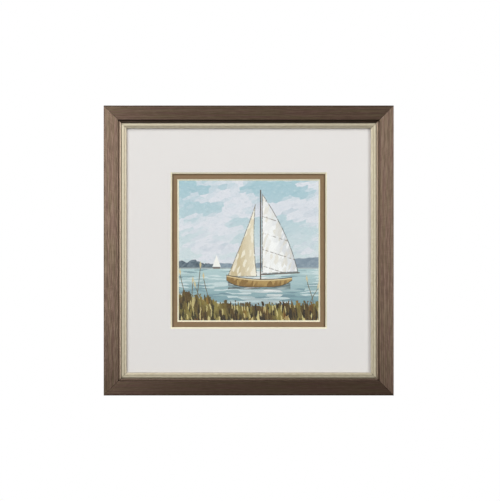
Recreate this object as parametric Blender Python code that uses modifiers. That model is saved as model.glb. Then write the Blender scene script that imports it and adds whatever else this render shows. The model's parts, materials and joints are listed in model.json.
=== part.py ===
"""Square glazed picture frame with two mats and a small print.

Units are metres, +Z is up and +X is to the viewer's right.
The front faces -Y. The origin is the centre of the back, on the paper dust cover at y = 0.
"""

import math

import bmesh
import bpy
from mathutils import Matrix, Vector

MM = 0.001

# Driving dimensions of the frame, seen from the front
FRAME_SIZE = 406.4 * MM
MOULDING_WIDTH = 31.75 * MM
PACKAGE_SIZE = 355.6 * MM
FACE_WIDTH = 19.9 * MM
LIP_START = 24.0 * MM

# Heights above the back plane of the rails
RAIL_HEIGHT = 21.3 * MM
COVE_FOOT = 16.2 * MM
LIP_TOP = 17.9 * MM
LIP_SLOPE_FOOT = 16.4 * MM
LIP_UNDERSIDE = 13.9 * MM
LIP_RIDGE_AT = 28.6 * MM
LIP_BEAD = 0.5 * MM
ARRIS_RADIUS = 1.2 * MM
INNER_ARRIS_RADIUS = 0.6 * MM
COVE_RADIUS = 3.2 * MM

# Where the cove begins, in degrees on its circle
COVE_START = 200

# Gap between pieces that touch
GAP = 0.3 * MM

# Sheets in the rabbet, from the front to the back; a window is measured at its narrow back edge
GLASS_THICKNESS = 2.0 * MM
MAT_THICKNESS = 2.0 * MM
PRINT_THICKNESS = 0.5 * MM
BACKING_THICKNESS = 3.0 * MM
OUTER_WINDOW = 215.9 * MM
INNER_WINDOW = 196.85 * MM
PRINT_SIZE = 203.2 * MM

# Paper over the back
DUST_COVER_THICKNESS = 0.4 * MM
DUST_COVER_INSET = 17.0 * MM

# Hangers on the side rails and bumpers at the bottom corners
FITTING_INSET = 8.5 * MM
HANGER_HEIGHT = 92.0 * MM
STRAP_WIDTH = 9.0 * MM
STRAP_LENGTH = 22.0 * MM
STRAP_THICKNESS = 1.0 * MM
STRAP_HOLE_RADIUS = 2.1 * MM
RING_WIRE_RADIUS = 0.9 * MM
RING_RADIUS = 6.8 * MM
RING_CORNER = 1.6 * MM
RING_BOW_RISE = 3.2 * MM
BARREL_RADIUS = 2.0 * MM
BARREL_WIDTH = 7.6 * MM
SCREW_SHANK_RADIUS = 1.6 * MM
SCREW_HEAD_RADIUS = 3.4 * MM
SCREW_HEAD_HEIGHT = 1.8 * MM
SCREW_DEPTH = 9.0 * MM
BUMPER_RADIUS = 5.0 * MM
BUMPER_HEIGHT = 4.0 * MM
BUMPER_EDGE = 1.2 * MM

# Fineness of round shapes, and how far a cutter runs past what it cuts
ROUND_SIDES = 32
TURN_STEPS = 24
ARC_STEPS = 5
CUT_MARGIN = 1.0 * MM

# Places that follow from the sizes above
HALF = FRAME_SIZE / 2
RAIL_BACK_Y = -(DUST_COVER_THICKNESS + GAP)
FITTING_SEAT_Y = RAIL_BACK_Y + GAP
RABBET_AT = (FRAME_SIZE - PACKAGE_SIZE) / 2 - GAP
GLASS_FRONT = LIP_UNDERSIDE - GAP
OUTER_MAT_FRONT = GLASS_FRONT - GLASS_THICKNESS - GAP
INNER_MAT_FRONT = OUTER_MAT_FRONT - MAT_THICKNESS - GAP
PRINT_FRONT = INNER_MAT_FRONT - MAT_THICKNESS - GAP
BACKING_FRONT = PRINT_FRONT - PRINT_THICKNESS - GAP
FITTING_X = HALF - FITTING_INSET
BARREL_Y = FITTING_SEAT_Y + BARREL_RADIUS
RING_BAR_Z = HANGER_HEIGHT + STRAP_LENGTH / 2 + BARREL_RADIUS / 2
SCREW_Z = HANGER_HEIGHT - STRAP_LENGTH / 2 + STRAP_WIDTH / 2


def clear_scene():
    for obj in list(bpy.data.objects):
        bpy.data.objects.remove(obj, do_unlink=True)


def new_collection(name):
    collection = bpy.data.collections.new(name)
    bpy.context.scene.collection.children.link(collection)
    return collection


def make_material(name, colour, roughness, metallic, alpha=1.0):
    material = bpy.data.materials.new(name)
    material.use_nodes = True
    shader = material.node_tree.nodes["Principled BSDF"]
    shader.inputs["Base Color"].default_value = (*colour, 1.0)
    shader.inputs["Roughness"].default_value = roughness
    shader.inputs["Metallic"].default_value = metallic
    shader.inputs["Alpha"].default_value = alpha
    return material


def add_object(name, mesh, material, collection, turn=0.0):
    obj = bpy.data.objects.new(name, mesh)
    obj.rotation_euler = (0.0, turn, 0.0)
    if material is not None:
        mesh.materials.clear()
        mesh.materials.append(material)
    collection.objects.link(obj)
    return obj


def flat_outline_mesh(outlines, thickness):
    """A closed plate: flat outlines in XY, the first outer and the rest holes, thick along Z."""
    curve = bpy.data.curves.new("outline", "CURVE")
    curve.dimensions = "2D"
    curve.fill_mode = "BOTH"
    curve.extrude = thickness / 2
    for points in outlines:
        spline = curve.splines.new("POLY")
        spline.points.add(len(points) - 1)
        for point, (x, y) in zip(spline.points, points):
            point.co = (x, y, 0.0, 1.0)
        spline.use_cyclic_u = True
    guide = bpy.data.objects.new("outline", curve)
    bpy.context.scene.collection.objects.link(guide)
    bpy.context.view_layer.update()
    evaluated = guide.evaluated_get(bpy.context.evaluated_depsgraph_get())
    mesh = bpy.data.meshes.new_from_object(evaluated)
    bpy.data.objects.remove(guide, do_unlink=True)
    shape = bmesh.new()
    shape.from_mesh(mesh)
    bmesh.ops.remove_doubles(shape, verts=shape.verts, dist=0.00001)
    bmesh.ops.recalc_face_normals(shape, faces=shape.faces)
    shape.to_mesh(mesh)
    shape.free()
    return mesh


def box_mesh(name, low, high):
    """A box between two corners, from the cube primitive."""
    low = Vector(low)
    high = Vector(high)
    mesh = bpy.data.meshes.new(name)
    shape = bmesh.new()
    place = Matrix.Translation((low + high) / 2) @ Matrix.Diagonal((*(high - low), 1.0))
    bmesh.ops.create_cube(shape, size=1.0, matrix=place)
    shape.to_mesh(mesh)
    shape.free()
    return mesh


def cylinder_mesh(name, radius, start, end):
    """A cylinder between the centres of its two ends."""
    start = Vector(start)
    end = Vector(end)
    mesh = bpy.data.meshes.new(name)
    shape = bmesh.new()
    turn = (end - start).to_track_quat("Z", "Y").to_matrix().to_4x4()
    place = Matrix.Translation((start + end) / 2) @ turn
    bmesh.ops.create_cone(
        shape,
        cap_ends=True,
        segments=ROUND_SIDES,
        radius1=radius,
        radius2=radius,
        depth=(end - start).length,
        matrix=place,
    )
    shape.to_mesh(mesh)
    shape.free()
    return mesh


def add_cutter(name, mesh, collection):
    cutter = bpy.data.objects.new(name, mesh)
    cutter.hide_render = True
    cutter.display_type = "WIRE"
    collection.objects.link(cutter)
    return cutter


def cut(obj, cutter, operation="DIFFERENCE"):
    modifier = obj.modifiers.new(operation.lower(), "BOOLEAN")
    modifier.operation = operation
    modifier.solver = "EXACT"
    modifier.object = cutter


def shade_round(obj, angle=math.radians(35)):
    obj.data.shade_smooth()
    obj.data.set_sharp_from_angle(angle=angle)


def arc(centre, radius, start, end, steps):
    """Points on a circle from one angle to another, in degrees."""
    angles = [math.radians(start + (end - start) * i / steps) for i in range(steps + 1)]
    return [(centre[0] + radius * math.cos(a), centre[1] + radius * math.sin(a)) for a in angles]


def rail_profile():
    """Outline of the brown moulding: inward distance from its outer side, height above its back."""
    outer_centre = (ARRIS_RADIUS, RAIL_HEIGHT - ARRIS_RADIUS)
    inner_centre = (FACE_WIDTH - INNER_ARRIS_RADIUS, RAIL_HEIGHT - INNER_ARRIS_RADIUS)
    cove_centre = (LIP_START, COVE_FOOT + COVE_RADIUS)
    return [
        (0.0, 0.0),
        *arc(outer_centre, ARRIS_RADIUS, 180, 90, ARC_STEPS),
        *arc(inner_centre, INNER_ARRIS_RADIUS, 90, COVE_START - 180, ARC_STEPS),
        *arc(cove_centre, COVE_RADIUS, COVE_START, 270, ARC_STEPS),
        (LIP_START, LIP_UNDERSIDE),
        (RABBET_AT, LIP_UNDERSIDE),
        (RABBET_AT, 0.0),
    ]


def lip_profile():
    """Outline of the gold inner lip, which sits on the ledge of the brown moulding."""
    start = LIP_START + GAP
    sight_centre = (MOULDING_WIDTH - LIP_BEAD, LIP_SLOPE_FOOT - LIP_BEAD / 2)
    return [
        (start, LIP_UNDERSIDE + GAP),
        (start, COVE_FOOT),
        (start + LIP_BEAD, LIP_TOP - LIP_BEAD / 2),
        (start + 2 * LIP_BEAD, LIP_TOP),
        (LIP_RIDGE_AT, LIP_TOP - LIP_BEAD / 2),
        (LIP_RIDGE_AT + LIP_BEAD / 2, LIP_TOP),
        (LIP_RIDGE_AT + LIP_BEAD, LIP_TOP - LIP_BEAD / 2),
        *arc(sight_centre, LIP_BEAD, 75, 0, ARC_STEPS),
        (MOULDING_WIDTH, LIP_UNDERSIDE + GAP),
    ]


def mitred_rail_mesh(name, profile):
    """The bottom rail: the outline carried along X and cut off at 45 degrees at both ends."""
    mesh = flat_outline_mesh([profile], FRAME_SIZE + 2 * CUT_MARGIN)
    mesh.name = name
    shape = bmesh.new()
    shape.from_mesh(mesh)
    # Outline x becomes +Z, outline y becomes -Y and the length becomes +X
    turn = Matrix(((0, 0, 1, 0), (0, -1, 0, RAIL_BACK_Y), (1, 0, 0, -HALF), (0, 0, 0, 1)))
    bmesh.ops.transform(shape, matrix=turn, verts=shape.verts)
    for side in (-1, 1):
        outward = Vector((side, 0.0, 1.0)).normalized()
        corner = Vector((side * HALF, 0.0, -HALF)) - outward * GAP / 2
        bmesh.ops.bisect_plane(
            shape,
            geom=shape.verts[:] + shape.edges[:] + shape.faces[:],
            dist=0.0000001,
            plane_co=corner,
            plane_no=outward,
            clear_outer=True,
        )
        rim = [edge for edge in shape.edges if edge.is_boundary]
        bmesh.ops.contextual_create(shape, geom=rim)
    bmesh.ops.recalc_face_normals(shape, faces=shape.faces)
    shape.to_mesh(mesh)
    shape.free()
    return mesh


def pilot_holes(radius, depth, cutters):
    """Cutters for the screw holes in the backs of the left and right rails."""
    holes = {}
    for side, sign in (("left", -1), ("right", 1)):
        name = "pilot_hole_" + side
        mouth = (sign * FITTING_X, RAIL_BACK_Y + CUT_MARGIN, SCREW_Z)
        bottom = (sign * FITTING_X, RAIL_BACK_Y - depth, SCREW_Z)
        holes[side] = add_cutter(name, cylinder_mesh(name, radius, bottom, mouth), cutters)
    return holes


def build_rails(parts, cutters, wood, gold):
    """Four brown rails and four gold lips, each set of one shape turned round the centre."""
    holes = pilot_holes(SCREW_SHANK_RADIUS + GAP, SCREW_DEPTH + GAP, cutters)
    for quarter, side in enumerate(("bottom", "left", "top", "right")):
        turn = quarter * math.pi / 2
        rail = add_object(
            "rail_" + side, mitred_rail_mesh("rail_" + side, rail_profile()), wood, parts, turn
        )
        if side in holes:
            cut(rail, holes[side])
        shade_round(rail)
        lip = add_object(
            "lip_" + side, mitred_rail_mesh("lip_" + side, lip_profile()), gold, parts, turn
        )
        shade_round(lip)


def sheet(name, size, front, thickness, material, parts):
    """A square sheet; front is the height of its front face above the back of the rails."""
    low = (-size / 2, RAIL_BACK_Y - front, -size / 2)
    high = (size / 2, RAIL_BACK_Y - front + thickness, size / 2)
    return add_object(name, box_mesh(name, low, high), material, parts)


def window_cutter(name, opening, front, cutters):
    """A square pyramid stump that cuts a mat's window, widening at 45 degrees to the front."""
    half_front = opening / 2 + MAT_THICKNESS + CUT_MARGIN
    half_back = opening / 2 - CUT_MARGIN
    mesh = bpy.data.meshes.new(name)
    shape = bmesh.new()
    middle = RAIL_BACK_Y - front + MAT_THICKNESS / 2
    # The first radius lies at the front, because the cone's axis is turned to +Y
    place = (
        Matrix.Translation((0.0, middle, 0.0))
        @ Matrix.Rotation(-math.pi / 2, 4, "X")
        @ Matrix.Rotation(math.pi / 4, 4, "Z")
    )
    bmesh.ops.create_cone(
        shape,
        cap_ends=True,
        segments=4,
        radius1=half_front * math.sqrt(2),
        radius2=half_back * math.sqrt(2),
        depth=MAT_THICKNESS + 2 * CUT_MARGIN,
        matrix=place,
    )
    shape.to_mesh(mesh)
    shape.free()
    return add_cutter(name, mesh, cutters)


def build_sheets(parts, cutters, materials):
    sheet("glass_pane", PACKAGE_SIZE, GLASS_FRONT, GLASS_THICKNESS, materials["glass"], parts)
    outer = sheet(
        "outer_mat", PACKAGE_SIZE, OUTER_MAT_FRONT, MAT_THICKNESS, materials["white_mat"], parts
    )
    cut(outer, window_cutter("outer_window", OUTER_WINDOW, OUTER_MAT_FRONT, cutters))
    inner = sheet(
        "inner_mat", PACKAGE_SIZE, INNER_MAT_FRONT, MAT_THICKNESS, materials["tan_mat"], parts
    )
    cut(inner, window_cutter("inner_window", INNER_WINDOW, INNER_MAT_FRONT, cutters))
    sheet("print_sheet", PRINT_SIZE, PRINT_FRONT, PRINT_THICKNESS, materials["print"], parts)
    sheet(
        "backing_board", PACKAGE_SIZE, BACKING_FRONT, BACKING_THICKNESS, materials["board"], parts
    )
    cover = FRAME_SIZE - 2 * DUST_COVER_INSET
    sheet("dust_cover", cover, -GAP, DUST_COVER_THICKNESS, materials["kraft"], parts)


def build_strap(side, x, parts, steel):
    """A steel strap: a plate with one round end and a hole, and a barrel round the ring's bar."""
    half_width = STRAP_WIDTH / 2
    low = HANGER_HEIGHT - STRAP_LENGTH / 2
    high = HANGER_HEIGHT + STRAP_LENGTH / 2
    round_end = arc((0.0, low + half_width), half_width, 180, 360, 16)
    outline = round_end + [
        (half_width, high - half_width),
        (BARREL_WIDTH / 2, high - half_width / 2),
        (BARREL_WIDTH / 2, RING_BAR_Z),
        (-BARREL_WIDTH / 2, RING_BAR_Z),
        (-BARREL_WIDTH / 2, high - half_width / 2),
        (-half_width, high - half_width),
    ]
    hole = arc((0.0, SCREW_Z), STRAP_HOLE_RADIUS, 0, 360, TURN_STEPS)[:-1]
    mesh = flat_outline_mesh([outline, hole], STRAP_THICKNESS)
    mesh.name = "hanger_strap_" + side
    lay = Matrix.Translation((x, FITTING_SEAT_Y + STRAP_THICKNESS / 2, 0.0))
    mesh.transform(lay @ Matrix.Rotation(math.pi / 2, 4, "X"))
    return add_object("hanger_strap_" + side, mesh, steel, parts)


def add_barrel(side, x, strap, cutters):
    """The folded end of the strap: a short tube along X that holds the ring's bar."""
    for name, radius, reach, operation in (
        ("barrel_", BARREL_RADIUS, BARREL_WIDTH / 2, "UNION"),
        ("barrel_bore_", RING_WIRE_RADIUS + GAP, BARREL_WIDTH / 2 + CUT_MARGIN, "DIFFERENCE"),
    ):
        mesh = cylinder_mesh(
            name + side,
            radius,
            (x - reach, BARREL_Y, RING_BAR_Z),
            (x + reach, BARREL_Y, RING_BAR_Z),
        )
        cut(strap, add_cutter(name + side, mesh, cutters), operation)


def build_ring(side, x, parts, steel):
    """A D-shaped wire ring: a straight bar at the bottom and a round bow above it."""
    reach = RING_RADIUS - RING_CORNER
    corner_z = RING_BAR_Z + RING_CORNER
    path = arc((0.0, RING_BAR_Z + RING_BOW_RISE), RING_RADIUS, 0, 180, 18)
    path += arc((-reach, corner_z), RING_CORNER, 180, 270, 4)
    path += arc((reach, corner_z), RING_CORNER, 270, 360, 4)
    curve = bpy.data.curves.new("ring_path", "CURVE")
    curve.dimensions = "3D"
    curve.bevel_depth = RING_WIRE_RADIUS
    curve.bevel_resolution = 3
    spline = curve.splines.new("POLY")
    spline.points.add(len(path) - 1)
    for point, (across, up) in zip(spline.points, path):
        point.co = (x + across, BARREL_Y, up, 1.0)
    spline.use_cyclic_u = True
    ring = bpy.data.objects.new("hanger_ring_" + side, curve)
    curve.materials.append(steel)
    parts.objects.link(ring)
    return ring


def build_screw(side, x, parts, steel):
    """A pan-head screw turned about its axis; its shank stands in the rail's pilot hole."""
    seat = FITTING_SEAT_Y + STRAP_THICKNESS + GAP
    tip = RAIL_BACK_Y - SCREW_DEPTH
    head_top = seat + SCREW_HEAD_HEIGHT
    profile = [
        (0.0, tip),
        (SCREW_SHANK_RADIUS * 0.5, tip + SCREW_SHANK_RADIUS),
        (SCREW_SHANK_RADIUS, tip + 2.5 * SCREW_SHANK_RADIUS),
        (SCREW_SHANK_RADIUS, seat),
        (SCREW_HEAD_RADIUS, seat),
        (SCREW_HEAD_RADIUS, seat + SCREW_HEAD_HEIGHT * 0.45),
        (SCREW_HEAD_RADIUS * 0.8, seat + SCREW_HEAD_HEIGHT * 0.85),
        (SCREW_HEAD_RADIUS * 0.45, head_top),
        (0.0, head_top),
    ]
    name = "hanger_screw_" + side
    mesh = bpy.data.meshes.new(name)
    # The profile stands in the XZ plane, turns about Z and is then laid along +Y
    points = [(radius, 0.0, along) for radius, along in reversed(profile)]
    mesh.from_pydata(points, [(i, i + 1) for i in range(len(points) - 1)], [])
    screw = add_object(name, mesh, steel, parts)
    turned = screw.modifiers.new("turned", "SCREW")
    turned.axis = "Z"
    turned.steps = TURN_STEPS
    turned.render_steps = TURN_STEPS
    turned.use_merge_vertices = True
    turned.merge_threshold = 0.00001
    screw.location = (x, 0.0, SCREW_Z)
    screw.rotation_euler = (-math.pi / 2, 0.0, 0.0)
    return screw


def build_bumper(side, x, parts, rubber):
    """A round rubber pad with a rounded edge, in a bottom corner of the back."""
    name = "bumper_" + side
    mesh = cylinder_mesh(
        name,
        BUMPER_RADIUS,
        (x, FITTING_SEAT_Y, -FITTING_X),
        (x, FITTING_SEAT_Y + BUMPER_HEIGHT, -FITTING_X),
    )
    shape = bmesh.new()
    shape.from_mesh(mesh)
    rim = [
        edge
        for edge in shape.edges
        if all(v.co.y > FITTING_SEAT_Y + BUMPER_HEIGHT / 2 for v in edge.verts)
    ]
    bmesh.ops.bevel(
        shape, geom=rim, offset=BUMPER_EDGE, segments=4, profile=0.5, affect="EDGES"
    )
    shape.to_mesh(mesh)
    shape.free()
    bumper = add_object(name, mesh, rubber, parts)
    shade_round(bumper)
    return bumper


def build_fittings(parts, cutters, steel, rubber):
    for side, sign in (("left", -1), ("right", 1)):
        x = sign * FITTING_X
        strap = build_strap(side, x, parts, steel)
        add_barrel(side, x, strap, cutters)
        shade_round(strap)
        build_ring(side, x, parts, steel)
        shade_round(build_screw(side, x, parts, steel))
        build_bumper(side, x, parts, rubber)


def main():
    clear_scene()
    parts = new_collection("framed_print")
    cutters = new_collection("cutters")
    materials = {
        "wood": make_material("bronze_brown", (0.19, 0.14, 0.11), 0.45, 0.3),
        "gold": make_material("champagne_gold", (0.52, 0.46, 0.33), 0.4, 0.6),
        "glass": make_material("picture_glass", (0.9, 0.95, 0.93), 0.05, 0.0, 0.2),
        "white_mat": make_material("white_mat_board", (0.76, 0.74, 0.72), 0.9, 0.0),
        "tan_mat": make_material("tan_mat_board", (0.25, 0.17, 0.1), 0.9, 0.0),
        "print": make_material("printed_paper", (0.45, 0.55, 0.55), 0.7, 0.0),
        "board": make_material("backing_hardboard", (0.3, 0.2, 0.12), 0.8, 0.0),
        "kraft": make_material("kraft_paper", (0.42, 0.28, 0.16), 0.85, 0.0),
        "steel": make_material("plated_steel", (0.55, 0.53, 0.5), 0.3, 1.0),
        "rubber": make_material("dark_grey_rubber", (0.12, 0.12, 0.12), 0.6, 0.0),
    }
    build_rails(parts, cutters, materials["wood"], materials["gold"])
    build_sheets(parts, cutters, materials)
    build_fittings(parts, cutters, materials["steel"], materials["rubber"])
    bpy.context.view_layer.update()


main()
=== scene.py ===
"""The looks of a square glazed picture frame with two mats and a small painted print.

Every measure is in metres. The frame hangs with its front to -Y, +X is to the viewer's right and +Z is up.
A surface is worked out as one array of points, and a finish from Object coordinates or from the piece's
own UV map, whose unit is the metre too. A colour of three numbers is given as 0 to 255 on a screen.
"""

import json
import math
from functools import reduce

import bmesh
import bpy
import numpy as np
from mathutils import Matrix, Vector


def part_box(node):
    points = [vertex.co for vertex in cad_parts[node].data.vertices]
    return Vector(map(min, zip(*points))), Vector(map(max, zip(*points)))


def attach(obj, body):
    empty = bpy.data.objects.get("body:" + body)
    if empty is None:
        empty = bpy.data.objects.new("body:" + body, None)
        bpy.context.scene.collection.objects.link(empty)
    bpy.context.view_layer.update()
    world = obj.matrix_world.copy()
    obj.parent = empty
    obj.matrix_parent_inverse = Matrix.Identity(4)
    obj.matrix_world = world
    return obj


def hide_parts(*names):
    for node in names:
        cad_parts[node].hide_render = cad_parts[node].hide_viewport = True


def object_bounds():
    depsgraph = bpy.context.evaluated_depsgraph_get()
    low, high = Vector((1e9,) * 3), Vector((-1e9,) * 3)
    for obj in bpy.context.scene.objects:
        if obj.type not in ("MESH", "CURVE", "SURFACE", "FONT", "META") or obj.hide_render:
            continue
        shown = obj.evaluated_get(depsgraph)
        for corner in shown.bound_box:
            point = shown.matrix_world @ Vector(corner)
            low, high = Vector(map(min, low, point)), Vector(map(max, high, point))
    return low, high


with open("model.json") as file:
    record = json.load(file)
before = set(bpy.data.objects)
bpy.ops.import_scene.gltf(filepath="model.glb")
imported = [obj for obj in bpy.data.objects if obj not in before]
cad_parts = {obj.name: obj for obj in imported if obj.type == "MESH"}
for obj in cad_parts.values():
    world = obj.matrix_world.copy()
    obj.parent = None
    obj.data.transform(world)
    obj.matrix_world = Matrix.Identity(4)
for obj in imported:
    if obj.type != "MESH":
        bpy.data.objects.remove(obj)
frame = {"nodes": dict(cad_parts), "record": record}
cad_low, cad_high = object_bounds()

MM = 0.001

# Sizes of the moulding, as inward distance from the outer side and height above the back
FACE_WIDTH = 20.2 * MM
BEAD_AT = 23.15 * MM
BEAD_RADIUS = 0.6 * MM
QUIRK = 0.9 * MM
LIP_START = 24.0 * MM
SEAM_AT = LIP_START + 0.2 * MM
MOULDING_WIDTH = 31.75 * MM
RABBET_AT = 25.1 * MM
COVE_FOOT = 16.2 * MM
COVE_RADIUS = 2.0 * MM
COVE_START = 196
LIP_TOP = 17.9 * MM
LIP_SLOPE_FOOT = 16.4 * MM
LIP_RIDGE_AT = 28.6 * MM
LIP_BEAD = 0.5 * MM
ARRIS_RADIUS = 1.2 * MM
INNER_ARRIS_RADIUS = 0.5 * MM
BACK_EASE = 0.4 * MM
MITRE_ARRIS = 0.18 * MM
RAIL_GAP = 0.01 * MM
LIP_GAP = 0.1 * MM
CROWN = 0.1 * MM
HAIRLINE = 0.05 * MM

# Places that the frame gives, and how far round the outline the outer arris ends
HALF = cad_high.x
RAIL_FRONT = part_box("rail_top")[0].y
RAIL_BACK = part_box("rail_top")[1].y
RAIL_HEIGHT = RAIL_BACK - RAIL_FRONT
LIP_UNDERSIDE = RAIL_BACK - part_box("lip_top")[1].y
RIM_AT = RAIL_HEIGHT - CROWN - BACK_EASE - ARRIS_RADIUS * (1 - math.pi / 2)


class Term:
    """A value that varies over a surface: a shader node's output, which sums take like a number."""

    def __init__(self, tree, socket):
        self.tree = tree
        self.socket = socket

    def __add__(self, other):
        return calc("ADD", self, other)

    def __radd__(self, other):
        return calc("ADD", other, self)

    def __sub__(self, other):
        return calc("SUBTRACT", self, other)

    def __rsub__(self, other):
        return calc("SUBTRACT", other, self)

    def __mul__(self, other):
        return calc("MULTIPLY", self, other)

    def __truediv__(self, other):
        return calc("DIVIDE", self, other)

    def __abs__(self):
        return calc("ABSOLUTE", self)


def plug(socket, term):
    """Feeds a socket with another node's output, or sets it to a number or colour."""
    if isinstance(term, Term):
        term.tree.links.new(term.socket, socket)
    else:
        socket.default_value = term


def new_node(tree, kind, feeds, **settings):
    """Adds a shader node with its settings, feeds its inputs by name or number, and returns its outputs."""
    node = tree.nodes.new("ShaderNode" + kind)
    for setting, value in settings.items():
        setattr(node, setting, value)
    for socket, term in feeds.items():
        plug(node.inputs[socket], term)
    return [Term(tree, output) for output in node.outputs]


def tree_of(terms):
    """The node tree that the first varying term belongs to."""
    return next(term.tree for term in terms if isinstance(term, Term))


def calc(operation, *terms):
    """One sum on terms and numbers."""
    return new_node(tree_of(terms), "Math", dict(enumerate(terms)), operation=operation)[0]


def least(*terms):
    """The smallest of the terms."""
    return reduce(lambda one, other: calc("MINIMUM", one, other), terms)


def most(*terms):
    """The largest of the terms."""
    return reduce(lambda one, other: calc("MAXIMUM", one, other), terms)


def ramp(term, start, end, low=0.0, high=1.0):
    """Rises smoothly from low to high while the term goes from start to end."""
    feeds = dict(enumerate((term, start, end, low, high)))
    return new_node(term.tree, "MapRange", feeds, interpolation_type="SMOOTHSTEP")[0]


def linear(colour):
    """Turns a colour of three numbers into the linear light that shaders use, and leaves any other alone."""
    if isinstance(colour, Term) or len(colour) == 4:
        return colour
    share = np.array(colour) / 255
    light = np.where(share <= 0.04045, share / 12.92, ((share + 0.055) / 1.055) ** 2.4)
    return (*light.tolist(), 1.0)


def blend(under, over, amount):
    """Lays one colour over another."""
    feeds = {0: amount, 6: linear(under), 7: linear(over)}
    return new_node(amount.tree, "Mix", feeds, data_type="RGBA")[2]


def layered(colour, *layers):
    """Lays colours over a first one in turn, each given with its amount."""
    for over, amount in layers:
        colour = blend(colour, over, amount)
    return colour


def place_of(material, kind):
    """Where a point lies: on the object in metres, or on the piece's UV map."""
    tree = material.node_tree
    return Term(tree, tree.nodes.new("ShaderNodeTexCoord").outputs[kind])


def split(place):
    """The three numbers of a place."""
    return new_node(place.tree, "SeparateXYZ", {0: place})


def joined(*terms):
    """A place made of three numbers."""
    return new_node(tree_of(terms), "CombineXYZ", dict(enumerate(terms)))[0]


def mapped(place, scale, turn=0.0, kind="POINT"):
    """Scales and then turns a place about Z, or undoes that with the kind TEXTURE."""
    feeds = {"Vector": place, "Scale": (*scale, 1.0)[:3], "Rotation": (0.0, 0.0, turn)}
    return new_node(place.tree, "Mapping", feeds, vector_type=kind)[0]


def noise(place, scale, detail=2.0, roughness=0.5, distortion=0.0, turn=0.0):
    """Noise of one scale, or with a scale along each axis and turned about Z."""
    if isinstance(scale, tuple):
        place, scale = mapped(place, scale, turn), 1.0
    feeds = {"Vector": place, "Scale": scale, "Detail": detail, "Roughness": roughness}
    return new_node(place.tree, "TexNoise", {**feeds, "Distortion": distortion})[0]


def raised(height, depth, strength=1.0):
    """A bump whose full height is depth metres."""
    return new_node(height.tree, "Bump", {"Strength": strength, "Distance": depth, "Height": height})[0]


def fed(material, **sockets):
    """Feeds a material's shader. A value that is even all over goes straight on its socket."""
    shader = material.node_tree.nodes["Principled BSDF"]
    for socket, term in sockets.items():
        plug(shader.inputs[socket.replace("_", " ")], term)
    return material


def new_finish(name, **even):
    """A material with one shader and its even values."""
    material = bpy.data.materials.new(name)
    material.use_nodes = True
    return fed(material, **even)


def new_brushed_finish(name, **even):
    """A finish whose gloss spreads across the piece's length, as fine brush marks along u spread it."""
    material = new_finish(name, Anisotropic_Rotation=0.25, **even)
    tangent = new_node(material.node_tree, "Tangent", {}, direction_type="UV_MAP", uv_map="UVMap")[0]
    return fed(material, Tangent=tangent)


def mitre_line(across, up, half_width, faintest):
    """The dark line where two sides meet, on the diagonals. It is faintest in the upper left corner and
    darkest in the lower right one."""
    painted_shadow = ramp(abs(abs(across) - abs(up)), half_width, half_width * 0.4)
    return painted_shadow * ramp(across - up, -2 * HALF, 2 * HALF, faintest, 1.0)


def bronze_brown(bead_start, bead_end):
    """Brown bronze paint drawn out along the rail: streaks are noise stretched along u, crossed by fainter
    ticks. The bead, between two distances round the outline, is rubbed pale, and so is the cove above it,
    less so. On the upright rails the streaks are stronger, as painted side light, and bead and cove are
    paler, as a painted highlight. The level rails have painted shade on their arris, the top one painted
    shade in its cove and on its bead, and the bottom one painted shade all over. The outer sides are duller
    than the face."""
    material = new_brushed_finish("bronze_brown", Anisotropic=0.92)
    place = place_of(material, "UV")
    drawn = noise(place, (4.0, 760.0), 1.0)
    ribbon = noise(place, (60.0, 820.0), 1.0)
    streak = noise(place, (45.0, 1700.0), 2.0, 0.6)
    hair = noise(place, (60.0, 5200.0))
    tick = noise(place, (430.0, 70.0))
    hue = noise(place, (16.0, 560.0), turn=0.004)
    tone = ramp(drawn * 0.3 + ribbon * 0.3 + streak * 0.22 + hair * 0.1 + tick * 0.08, 0.41, 0.59)

    across, _, up = split(place_of(material, "Object"))
    upright = ramp(abs(across) - abs(up), -HAIRLINE, HAIRLINE)
    level = 1.0 - upright
    # painted side light: the streaks show stronger on the upright rails, which the side light rakes
    side_lit_streaks = upright * 0.45 + 0.55

    way_round = split(place)[1]
    edge = 0.1 * MM
    bead = ramp(way_round, bead_start - edge, bead_start + edge)
    bead = bead * ramp(way_round, bead_end + edge, bead_end - edge)
    cove = ramp(way_round, bead_start - 5.0 * MM, bead_start - 4.6 * MM)
    cove = cove * ramp(way_round, bead_start, bead_start - edge)
    rim = ramp(way_round, RIM_AT - 1.6 * MM, RIM_AT - 1.2 * MM)
    rim = rim * ramp(way_round, RIM_AT + 0.8 * MM, RIM_AT + 0.3 * MM)
    outside = ramp(way_round, RIM_AT - 1.2 * MM, RIM_AT - 3.0 * MM)

    colour = layered(
        (93, 71, 60),
        ((91, 76, 57), ramp(hue, 0.42, 0.58)),
        ((67, 51, 40), ramp(tone, 0.5, 0.0, 0.0, 0.6) * side_lit_streaks),
        ((118, 100, 85), ramp(tone, 0.5, 1.0, 0.0, 0.6) * side_lit_streaks),
        # painted shade: the bottom rail is darkened all over
        ((40, 16, 14), level * ramp(up, 0.0, -HAIRLINE) * 0.18),
        # the cove is rubbed a little pale, and paler on the upright rails as a painted highlight
        ((150, 131, 113), cove * (upright * 0.2 + 0.1)),
        # the bead is rubbed pale, and paler on the upright rails as a painted highlight
        ((200, 182, 160), bead * (upright * 0.55 + 0.35)),
        # painted shade in the top rail's cove and on its bead
        ((40, 28, 20), most(cove * 0.55, bead * 0.8) * level * ramp(up, 0.0, HAIRLINE)),
        # painted shade on the outer arris of the level rails, and the dark line of the mitre joints
        ((52, 36, 24), most(rim * level * 0.6, mitre_line(across, up, 0.8 * MM, 0.35))),
    )
    return fed(
        material,
        Base_Color=colour,
        Metallic=0.65 - outside * 0.5,
        Roughness=0.38 - tone * 0.08 + outside * 0.24,
        Normal=raised(drawn * 0.5 + ribbon * 0.5 + streak * 0.25 + hair * 0.03 + tick * 0.12, 0.2 * MM),
    )


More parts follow.
